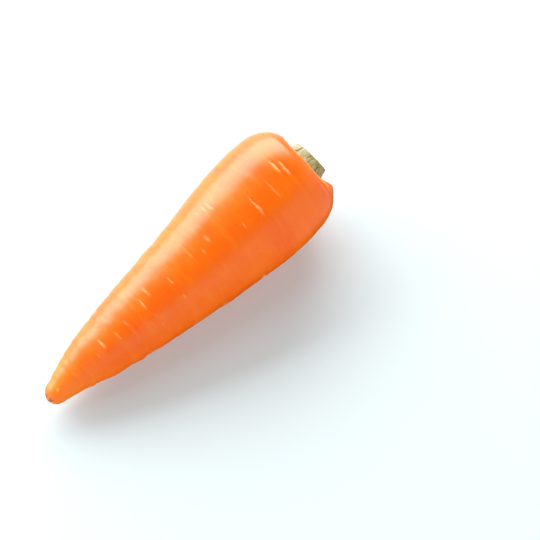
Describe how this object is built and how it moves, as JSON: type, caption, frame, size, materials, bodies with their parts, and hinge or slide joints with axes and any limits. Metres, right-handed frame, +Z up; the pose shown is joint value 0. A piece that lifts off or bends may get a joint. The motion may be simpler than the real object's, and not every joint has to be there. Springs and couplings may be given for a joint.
{
  "type": "carrot",
  "caption": "Fresh stout carrot lying on its side: tapering orange root with a broad shoulder, blunt tip and a short trimmed stub of leaf stalks.",
  "frame": {"origin": "centre of the bounding box's base, on the surface that the carrot lies on", "axes": "+X along the root from its tip to its crown, +Z up from the surface, +Y across the root"},
  "size_m": [0.165, 0.0554, 0.0551],
  "materials": {
    "root_skin": "smooth waxy carrot skin, bright orange, with pale cross-wise scars",
    "outer_stalks": "pale cream and green leaf stalk bases, ribbed lengthwise, drying at the cut",
    "inner_stalks": "olive and brown dried leaf stalk bases, matte"
  },
  "bodies": {
    "root": {"root": "root_skin", "outer_stalk_1": "outer_stalks", "outer_stalk_2": "outer_stalks", "outer_stalk_3": "outer_stalks", "outer_stalk_4": "outer_stalks", "outer_stalk_5": "outer_stalks", "middle_stalk_1": "inner_stalks", "middle_stalk_2": "inner_stalks", "middle_stalk_3": "inner_stalks", "middle_stalk_4": "inner_stalks", "inner_stalk_1": "inner_stalks", "inner_stalk_2": "inner_stalks", "inner_stalk_3": "inner_stalks", "heart_bud": "inner_stalks"}
  },
  "joints": []
}
